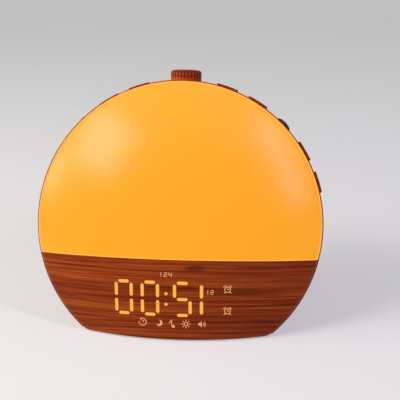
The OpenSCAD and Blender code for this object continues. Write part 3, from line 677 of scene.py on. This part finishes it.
def sound_mark(middle, size, stroke):
    """A loudspeaker with two waves."""
    x, z = middle
    box = [(-0.42, -0.16), (-0.25, -0.16), (0.0, -0.40), (0.0, 0.40), (-0.25, 0.16), (-0.42, 0.16)]
    marks = [[Vector((x + px * size, z + pz * size)) for px, pz in box]]
    marks += arc((x + 0.02 * size, z), size * 0.20, -42, 42, stroke, 8)
    marks += arc((x + 0.02 * size, z), size * 0.40, -42, 42, stroke, 12)
    return marks


def day_number(middle, size, stroke):
    """The plain number over the time."""
    return number("124", middle, size * 0.64, size, size * 1.12, stroke * 0.8)


def hour_number(middle, size, stroke):
    """The plain number beside the time."""
    return number("12", middle, size * 0.64, size, size * 1.10, stroke * 0.8)


# Each mark's shape, its place right and up of the display's middle, and its size, in millimetres.
MARKS = {
    "day_number": (day_number, -4.0, 15.2, 2.5),
    "hour_number": (hour_number, 22.8, 4.9, 2.3),
    "alarm_one": (alarm_mark, 33.4, 6.7, 4.8),
    "alarm_two": (alarm_mark, 33.4, -7.0, 4.8),
    "timer": (timer_mark, -18.5, -15.4, 5.2),
    "moon": (moon_mark, -8.2, -15.6, 5.0),
    "note": (note_mark, -0.2, -15.9, 5.2),
    "sun": (sun_mark, 8.3, -15.8, 5.4),
    "sound": (sound_mark, 17.9, -15.7, 5.0),
}


# How far the figures' soles lie under the skin, in shares of their lift.
SINK = 4


def laid_on(name, outlines, carrier, lift, sink):
    """One thin closed piece of the outlines, laid on a CAD node's front and following its curve."""
    coords = []
    faces = []
    for outline in outlines:
        faces.append(list(range(len(coords), len(coords) + len(outline))))
        coords += [Vector(p[:]) for p in outline]
    flat, _, triangles, _, _, sources = delaunay_2d_cdt(coords, [], faces, 1, 1e-7)
    kept = [t for t, source in zip(triangles, sources) if source]
    if not kept:
        raise RuntimeError(f"{name} has no area")
    tree = BVHTree.FromObject(NODES[carrier], bpy.context.evaluated_depsgraph_get())
    mesh = bmesh.new()
    tops = []
    soles = []
    for p in flat:
        start = FACE.point(p.x, -FACE.radius, p.y)
        hit, normal, _, _ = tree.ray_cast(start, FACE.back)
        if hit is None:
            raise RuntimeError(f"{name} lies off {carrier}")
        tops.append(mesh.verts.new(hit + normal * lift))
        soles.append(mesh.verts.new(hit - normal * sink))
    sides = {}
    for a, b, c in kept:
        mesh.faces.new((tops[a], tops[b], tops[c]))
        mesh.faces.new((soles[c], soles[b], soles[a]))
        for edge in ((a, b), (b, c), (c, a)):
            sides[edge] = True
    for a, b in sides:
        if (b, a) not in sides:
            mesh.faces.new((tops[b], tops[a], soles[a], soles[b]))
    loose = [v for v in mesh.verts if not v.link_faces]
    bmesh.ops.delete(mesh, geom=loose, context="VERTS")
    bmesh.ops.recalc_face_normals(mesh, faces=mesh.faces)
    return piece(name, mesh)


def piece(name, mesh):
    """A bmesh as a linked object at the frame's origin."""
    data = bpy.data.meshes.new(name)
    mesh.to_mesh(data)
    mesh.free()
    made = bpy.data.objects.new(name, data)
    bpy.context.scene.collection.objects.link(made)
    return made


# ---------------------------------------------------------------- screws

# The nodes that hold screws, and the line along which each one's screws run.
SCREWS = {
    "base_screws": Vector((0, 0, 1)),
    "battery_screw": Vector((0, 0, 1)),
    "board_screws": FACE.back,
    "display_screws": FACE.back,
    "speaker_screws": FACE.back,
}
# A corner within this of a screw's end counts as on it.
END_MARGIN = 0.01 * MM
# The pan head's outline from its rim inward, in shares of its radius and its height.
HEAD_OUTLINE = ((1.0, 0.50), (0.95, 0.76), (0.84, 0.92))
# The cross recess: length and half width of an arm in shares of the head's radius, heights of its
# lip and floor in shares of the head's height, and the floor's size in shares of the lip's.
CROSS_ARM = 0.52
CROSS_HALF = 0.13
CROSS_LIP = 0.98
CROSS_FLOOR = 0.35
CROSS_TAPER = 0.72
# The thread in shares of the shank's radius, the rows of corners in one turn of it, and how
# steeply its crest rises.
THREAD_PITCH = 0.85
THREAD_ROOT = 0.72
TIP_LENGTH = 1.2
TIP_BLUNT = 0.30
ROWS_PER_TURN = 6
CREST_SLOPE = 3.2


def islands(node):
    """The separate solids of a CAD node, each as a list of its corners."""
    mesh = bmesh.new()
    mesh.from_mesh(NODES[node].data)
    bmesh.ops.remove_doubles(mesh, verts=mesh.verts, dist=1e-6)
    seen = set()
    found = []
    for first in mesh.verts:
        if first in seen:
            continue
        seen.add(first)
        waiting = [first]
        corners = []
        while waiting:
            corner = waiting.pop()
            corners.append(corner.co.copy())
            for edge in corner.link_edges:
                other = edge.other_vert(corner)
                if other not in seen:
                    seen.add(other)
                    waiting.append(other)
        found.append(corners)
    mesh.free()
    return found


def screw_sizes(corners, axis):
    """A plain screw's place, its head's radius and height, and its shank's radius and length."""
    turn = axis.to_track_quat("Z", "Y")
    local = [turn.inverted() @ p for p in corners]
    low = Vector([min(p[i] for p in local) for i in range(3)])
    high = Vector([max(p[i] for p in local) for i in range(3)])
    middle = (low + high) / 2
    reach = [(p.z, math.hypot(p.x - middle.x, p.y - middle.y)) for p in local]
    head_r = max(r for _, r in reach)
    low_r = max(r for z, r in reach if z < low.z + END_MARGIN)
    high_r = max(r for z, r in reach if z > high.z - END_MARGIN)
    shank_r = min(low_r, high_r)
    wide = [z for z, r in reach if r > (head_r + shank_r) / 2]
    faces_up = high_r > low_r
    seat = min(wide) if faces_up else max(wide)
    length = seat - low.z if faces_up else high.z - seat
    head_h = max(wide) - min(wide)
    place = turn @ Vector((middle.x, middle.y, seat))
    if not faces_up:
        turn = turn @ Quaternion((1, 0, 0), math.pi)
    return Matrix.LocRotScale(place, turn, None), head_r, head_h, shank_r, length


def ring(mesh, place, radius, z, count=24):
    """Corners of a circle across a screw; radius is a number, or a function of the angle."""
    made = []
    for i in range(count):
        angle = 2 * math.pi * i / count
        r = radius(angle) if callable(radius) else radius
        made.append(mesh.verts.new(place @ Vector((r * math.cos(angle), r * math.sin(angle), z))))
    return made


def join(mesh, a, b):
    """A band of faces between two rings."""
    for i in range(len(a)):
        j = (i + 1) % len(a)
        mesh.faces.new((a[i], a[j], b[j], b[i]))


def screw(mesh, place, head_r, head_h, shank_r, length):
    """A pan-head screw with a cross recess and a cut thread that stays inside the plain shank."""
    rim = ring(mesh, place, head_r, 0)
    last = rim
    for share, rise in HEAD_OUTLINE:
        row = ring(mesh, place, head_r * share, head_h * rise)
        join(mesh, last, row)
        last = row
    recess(mesh, place, last, head_r, head_h)
    shank(mesh, place, rim, shank_r, length)


def recess(mesh, place, outer, head_r, head_h):
    """The top of a head inside its outer ring, with a cross sunk into it."""
    edge = [place.inverted() @ v.co for v in outer]
    arm = head_r * CROSS_ARM
    half = head_r * CROSS_HALF
    cross = []
    for i in range(4):
        turn = Matrix.Rotation(math.pi / 2 * i, 2)
        cross += [turn @ Vector(p) for p in ((arm, -half), (arm, half), (half, half))]
    coords = [p.xy for p in edge] + cross
    count = len(edge)
    faces = [list(range(count)), list(range(count, len(coords)))]
    flat, _, triangles, origins, _, sources = delaunay_2d_cdt(coords, [], faces, 1, 1e-9)
    verts = {}
    for i, p in enumerate(flat):
        first = origins[i][0]
        if first < count:
            verts[i] = outer[first]
        else:
            verts[i] = mesh.verts.new(place @ Vector((p.x, p.y, head_h * CROSS_LIP)))
    for triangle, source in zip(triangles, sources):
        if 1 not in source and 0 in source:
            mesh.faces.new([verts[i] for i in triangle])
    lip = []
    floor = []
    for k, p in enumerate(cross):
        lip.append(verts[next(i for i in range(len(flat)) if count + k in origins[i])])
        sunk = Vector((p.x * CROSS_TAPER, p.y * CROSS_TAPER, head_h * CROSS_FLOOR))
        floor.append(mesh.verts.new(place @ sunk))
    join(mesh, lip, floor)
    mesh.faces.new(floor)


def shank(mesh, place, rim, radius, length):
    """A shank with a helical thread and a blunt point, hung from the underside of a head."""
    pitch = radius * THREAD_PITCH
    root = radius * THREAD_ROOT
    tip = radius * TIP_LENGTH
    rows = max(ROWS_PER_TURN, round((length - tip) / pitch * ROWS_PER_TURN))
    last = ring(mesh, place, root, 0)
    join(mesh, rim, last)
    for k in range(1, rows + 1):
        z = -(length - tip) * k / rows
        fade = min(1.0, -z / pitch)

        def thread(angle):
            part = (z / pitch - angle / (2 * math.pi)) % 1.0
            crest = max(0.0, 1.0 - abs(part - 0.5) * CREST_SLOPE)
            return root + (radius - root) * crest * fade

        row = ring(mesh, place, thread, z)
        join(mesh, last, row)
        last = row
    point = ring(mesh, place, root * TIP_BLUNT, -length)
    join(mesh, last, point)
    mesh.faces.new(point)


def soften(mesh, limit=35):
    """Smooth faces with crisp edges where the surface turns by more than limit degrees."""
    bmesh.ops.recalc_face_normals(mesh, faces=mesh.faces)
    for face in mesh.faces:
        face.smooth = True
    for edge in mesh.edges:
        if len(edge.link_faces) == 2 and edge.calc_face_angle() > math.radians(limit):
            edge.smooth = False


# ---------------------------------------------------------------- operators


# The studio's sheet in metres: half its width, its front end, where it starts to bend up, the
# bend's radius and its top end.
SHEET_HALF = 3.0
SHEET_FRONT = -3.0
SHEET_BEND = 1.6
SHEET_RADIUS = 0.8
SHEET_TOP = 4.0
SHEET_STEPS = 12
# The paper's tooth in two greys, what it adds where it is seen, and the backdrop past it.
PAPER_DARK = (0.58, 0.585, 0.59)
PAPER_LIGHT = (0.62, 0.625, 0.63)
PAPER_SHOWN = (0.38, 0.385, 0.392)
BACKDROP = (0.66, 0.67, 0.69)
# Each lamp's direction round and up in degrees, its distance and size in metres, and its colour.
LAMPS = {
    "key": (-58, 40, 1.2, (0.50, 0.50), (1.0, 0.97, 0.93)),
    "side": (-80, 18, 1.4, (0.40, 0.40), (1.0, 0.80, 0.58)),
    "strip": (57, 35, 1.1, (0.09, 0.80), (0.84, 0.68, 1.0)),
}
# What the lamps face, from the face's centre.
LAMP_AIM = Vector((0, -20 * MM, 10 * MM))
SENSOR_WIDTH = 36.0
NEAREST = 0.02
FARTHEST = 50.0


class CLOCK_OT_studio(Operator):
    """Lays the floor and backdrop, and sets the lamps, the world and the camera"""

    bl_idname = "clock.studio"
    bl_label = "Studio"

    def execute(self, context):
        studio = context.scene.clock_studio
        self.floor()
        self.world(context, studio)
        powers = {"key": studio.key_power, "side": studio.side_power, "strip": studio.strip_power}
        for name, power in powers.items():
            self.lamp(f"{name}_lamp", power, *LAMPS[name])
        self.camera(context, studio)
        context.scene.view_settings.view_transform = "Standard"
        return {"FINISHED"}

    def floor(self):
        """A pale sheet that runs back and curves up behind the clock."""
        mesh = bmesh.new()
        profile = [(SHEET_FRONT, 0.0), (SHEET_BEND, 0.0)]
        for i in range(1, SHEET_STEPS + 1):
            angle = math.pi / 2 * i / SHEET_STEPS
            profile.append((
                SHEET_BEND + SHEET_RADIUS * math.sin(angle),
                SHEET_RADIUS - SHEET_RADIUS * math.cos(angle)))
        profile.append((SHEET_BEND + SHEET_RADIUS, SHEET_TOP))
        rows = []
        for y, z in profile:
            rows.append([mesh.verts.new((side * SHEET_HALF, y, z)) for side in (-1, 1)])
        for near, far in zip(rows, rows[1:]):
            mesh.faces.new((near[0], near[1], far[1], far[0]))
        for face in mesh.faces:
            face.smooth = True
        sheet = piece("studio_sheet", mesh)
        material, tree, shader = start_finish("studio_paper", Roughness=0.9, Specular_IOR_Level=0.1)
        tooth = noise(tree, frame_place(tree), 900.0, 2.0)
        tree.links.new(
            blend(tree, tooth, rgba(PAPER_DARK), rgba(PAPER_LIGHT)), shader.inputs["Base Color"])
        shader.inputs["Emission Color"].default_value = rgba(PAPER_SHOWN)
        tree.links.new(self.shown(tree), shader.inputs["Emission Strength"])
        sheet.data.materials.append(material)

    def world(self, context, studio):
        """Even light from all round, and a pale backdrop for what sees the world itself."""
        world = bpy.data.worlds.new("studio_world")
        context.scene.world = world
        world.use_nodes = True
        tree = world.node_tree
        tree.nodes.clear()
        light = add(tree, "Background", {"Color": (1, 1, 1, 1), "Strength": studio.world_light})
        backdrop = add(tree, "Background", {"Color": rgba(BACKDROP), "Strength": 1.0})
        mixed = add(
            tree, "MixShader", {0: self.shown(tree), 1: light.outputs[0], 2: backdrop.outputs[0]})
        out = add(tree, "OutputWorld")
        tree.links.new(mixed.outputs[0], out.inputs["Surface"])

    def shown(self, tree):
        """1 where seen straight on, in a gloss or through glass, and 0 where it only lights."""
        ray = add(tree, "LightPath")
        seen = calc(tree, "MAXIMUM", ray.outputs["Is Camera Ray"], ray.outputs["Is Glossy Ray"])
        return calc(tree, "MAXIMUM", seen, ray.outputs["Is Transmission Ray"])

    def lamp(self, name, power, azimuth, elevation, distance, size, colour):
        """A flat soft lamp."""
        data = bpy.data.lights.new(name, "AREA")
        data.shape = "RECTANGLE"
        data.size, data.size_y = size
        data.energy = power
        data.color = colour
        self.stand(data, LAMP_AIM, math.radians(azimuth), math.radians(elevation), distance)

    def camera(self, context, studio):
        """The camera looks down a little, from just right of straight ahead."""
        data = bpy.data.cameras.new("camera")
        data.lens = studio.lens
        data.sensor_width = SENSOR_WIDTH
        data.clip_start = NEAREST
        data.clip_end = FARTHEST
        context.scene.camera = self.stand(
            data, Vector(studio.aim), studio.yaw, studio.elevation, studio.distance)

    def stand(self, data, aim, azimuth, elevation, distance):
        """An object that stands off from aim, a place from the face's centre, and faces it."""
        made = bpy.data.objects.new(data.name, data)
        bpy.context.scene.collection.objects.link(made)
        away = Vector((
            math.sin(azimuth) * math.cos(elevation),
            -math.cos(azimuth) * math.cos(elevation),
            math.sin(elevation)))
        made.location = FACE.centre + aim + away * distance
        made.rotation_mode = "QUATERNION"
        made.rotation_quaternion = (-away).to_track_quat("-Z", "Y")
        return made


class CLOCK_OT_light_cover(Operator):
    """Finishes the glowing light cover"""

    bl_idname = "clock.light_cover"
    bl_label = "Light cover"

    def execute(self, context):
        dress(glowing_cover(context.scene.clock_colours), "diffuser")
        return {"FINISHED"}


class CLOCK_OT_wood(Operator):
    """Finishes the wood-grain front, shell, keys and knob"""

    bl_idname = "clock.wood"
    bl_label = "Wood-grain parts"

    def execute(self, context):
        colours = context.scene.clock_colours
        dress(layered_wood("bamboo_front", colours, knot=FRONT_KNOT), "front_band")
        dress(layered_wood("bamboo_shell", colours), "rear_housing")
        keys = [f"key_{side}_{i}" for side in ("left", "right") for i in (1, 2, 4, 5)]
        dress(layered_wood("bamboo_keys", colours, seed=0.31, share=1.15), *keys)
        knob_wood = layered_wood("bamboo_knob", colours, seed=0.17, share=1.35, knob="knob")
        dress(knob_wood, "knob")
        return {"FINISHED"}


class CLOCK_OT_buttons(Operator):
    """Finishes the two black round buttons"""

    bl_idname = "clock.buttons"
    bl_label = "Round buttons"

    def execute(self, context):
        black = moulded(
            "button_plastic", (0.008, 0.008, 0.009), 0.42, 0.004, Specular_IOR_Level=0.25)
        dress(black, "key_left_3", "key_right_3")
        return {"FINISHED"}


class CLOCK_OT_figures(Operator):
    """Lays the lit digits and marks on the front"""

    bl_idname = "clock.figures"
    bl_label = "Lit figures"

    def execute(self, context):
        figures = context.scene.clock_figures
        colours = context.scene.clock_colours
        bright = lit_figure("figure_light", colours.figure)
        dim = lit_figure("mark_light", colours.mark)
        middle = (MASK_LOW + MASK_HIGH) / 2
        time_x = middle.x - figures.time_shift
        half_room = figures.colon_room / 2
        for i, character in enumerate(figures.time):
            place = i - (len(figures.time) - 1) / 2
            x = time_x + place * figures.digit_pitch + math.copysign(half_room, place)
            outlines = digit(
                character, (x, middle.z), figures.digit_width, figures.digit_height,
                figures.bar_width, figures.bar_gap)
            self.lay(f"figure_digit_{i + 1}", outlines, bright, figures)
        colon = []
        for rise in (-figures.colon_rise, figures.colon_rise):
            colon += disc((time_x, middle.z + rise), figures.bar_width / 2)
        self.lay("figure_colon", colon, bright, figures)
        for name, (draw, x, z, size) in MARKS.items():
            spot = (middle.x + x * MM, middle.z + z * MM)
            self.lay(f"mark_{name}", draw(spot, size * MM, figures.stroke), dim, figures)
        return {"FINISHED"}

    def lay(self, name, outlines, material, figures):
        """One figure on the front band, riding with the body."""
        made = laid_on(name, outlines, "front_band", figures.lift, SINK * figures.lift)
        made.data.materials.append(material)
        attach(made, "body")


class CLOCK_OT_base(Operator):
    """Finishes the base plate, battery door and feet"""

    bl_idname = "clock.base"
    bl_label = "Base"

    def execute(self, context):
        plastic = moulded("base_plastic", (0.022, 0.021, 0.021), 0.55, 0.02, 0.6)
        dress(plastic, "base_plate", "battery_door")
        dress(moulded("foot_rubber", (0.03, 0.03, 0.031), 0.85, 0.03, 0.25), "rubber_feet")
        return {"FINISHED"}


class CLOCK_OT_screws(Operator):
    """Makes the screws with their cross recesses and threads"""

    bl_idname = "clock.screws"
    bl_label = "Screws"

    def execute(self, context):
        steel = machined("screw_steel", (0.55, 0.55, 0.57), 0.32)
        for node, axis in SCREWS.items():
            mesh = bmesh.new()
            for corners in islands(node):
                screw(mesh, *screw_sizes(corners, axis))
            soften(mesh)
            made = piece(f"threaded_{node}", mesh)
            made.data.materials.append(steel)
            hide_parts(node)
            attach(made, "body")
        return {"FINISHED"}


class CLOCK_OT_back(Operator):
    """Finishes the speaker and the power inlet"""

    bl_idname = "clock.back"
    bl_label = "Speaker and inlet"

    def execute(self, context):
        dress(moulded("grille_plastic", (0.018, 0.018, 0.019), 0.5, 0.012), "speaker_grille")
        dress(machined("basket_steel", (0.42, 0.43, 0.45), 0.4), "speaker_basket")
        dress(moulded("magnet_ferrite", (0.045, 0.045, 0.05), 0.7, 0.02), "speaker_magnet")
        dress(moulded("cone_paper", (0.03, 0.028, 0.027), 0.9, 0.04, 0.5), "speaker_cone")
        dress(moulded("inlet_plastic", (0.015, 0.015, 0.016), 0.4, 0.006), "dc_jack")
        dress(machined("nut_nickel", (0.62, 0.61, 0.58), 0.25), "jack_nut", "encoder_nut")
        return {"FINISHED"}


class CLOCK_OT_inside(Operator):
    """Finishes the boards, light chips, switches and the rest inside"""

    bl_idname = "clock.inside"
    bl_label = "Inside parts"

    def execute(self, context):
        dress(moulded("board_white", (0.75, 0.76, 0.74), 0.35, 0.006), "light_board")
        green = moulded("board_green", (0.012, 0.11, 0.035), 0.3, 0.008)
        dress(green, "main_board", "display_board", "encoder_board")
        dress(moulded("reflector_white", (0.82, 0.82, 0.80), 0.55, 0.008), "reflector")
        dress(moulded("mask_white", (0.78, 0.78, 0.76), 0.6, 0.01), "display_mask")
        black = moulded("switch_black", (0.02, 0.02, 0.02), 0.45, 0.008)
        dress(black, "key_switches", "board_headers")
        dress(moulded("chip_black", (0.016, 0.016, 0.018), 0.5, 0.010, 0.2), "board_chips")
        dress(moulded("plunger_white", (0.7, 0.7, 0.68), 0.4, 0.006), "encoder_plunger")
        dress(machined("spacer_brass", (0.72, 0.50, 0.20), 0.3), "board_spacers")
        dress(machined("contact_brass", (0.75, 0.56, 0.26), 0.28), "cell_contacts")
        dress(machined("encoder_steel", (0.56, 0.57, 0.58), 0.35), "encoder_body")
        dress(machined("shaft_aluminium", (0.70, 0.71, 0.72), 0.3), "encoder_shaft")
        dress(machined("cell_steel", (0.62, 0.62, 0.63), 0.22), "coin_cell")
        dress(lit_figure("chip_light", (1.0, 0.55, 0.12)), "led_chips")
        dress(lit_figure("display_chip_light", (1.0, 0.48, 0.07)), "display_leds")
        return {"FINISHED"}


GROUPS = {
    "clock_figures": ClockFigures,
    "clock_colours": ClockColours,
    "clock_studio": ClockStudio,
}
OPERATORS = (
    CLOCK_OT_studio,
    CLOCK_OT_light_cover,
    CLOCK_OT_wood,
    CLOCK_OT_buttons,
    CLOCK_OT_figures,
    CLOCK_OT_base,
    CLOCK_OT_screws,
    CLOCK_OT_back,
    CLOCK_OT_inside,
)


class CLOCK_PT_panel(Panel):
    """Lists the clock's parts"""

    bl_idname = "CLOCK_PT_panel"
    bl_label = "Sunrise Alarm Clock"
    bl_space_type = "VIEW_3D"
    bl_region_type = "UI"
    bl_category = "Alarm Clock"

    def draw(self, context):
        layout = self.layout
        for key, group in GROUPS.items():
            box = layout.box()
            for name in group.__annotations__:
                box.prop(getattr(context.scene, key), name)
        for operator in OPERATORS:
            layout.operator(operator.bl_idname)


def register():
    """Adds the clock's settings, operators and panel to Blender."""
    for group in GROUPS.values():
        bpy.utils.register_class(group)
    for operator in OPERATORS:
        bpy.utils.register_class(operator)
    bpy.utils.register_class(CLOCK_PT_panel)
    for name, group in GROUPS.items():
        setattr(bpy.types.Scene, name, PointerProperty(type=group))


def unregister():
    """Takes them out again, in the opposite order."""
    for name in GROUPS:
        delattr(bpy.types.Scene, name)
    bpy.utils.unregister_class(CLOCK_PT_panel)
    for operator in reversed(OPERATORS):
        bpy.utils.unregister_class(operator)
    for group in reversed(GROUPS.values()):
        bpy.utils.unregister_class(group)


def main():
    """Makes the whole clock."""
    register()
    bpy.ops.clock.studio()
    bpy.ops.clock.light_cover()
    bpy.ops.clock.wood()
    bpy.ops.clock.buttons()
    bpy.ops.clock.figures()
    bpy.ops.clock.base()
    bpy.ops.clock.screws()
    bpy.ops.clock.back()
    bpy.ops.clock.inside()


if __name__ == "__main__":
    main()
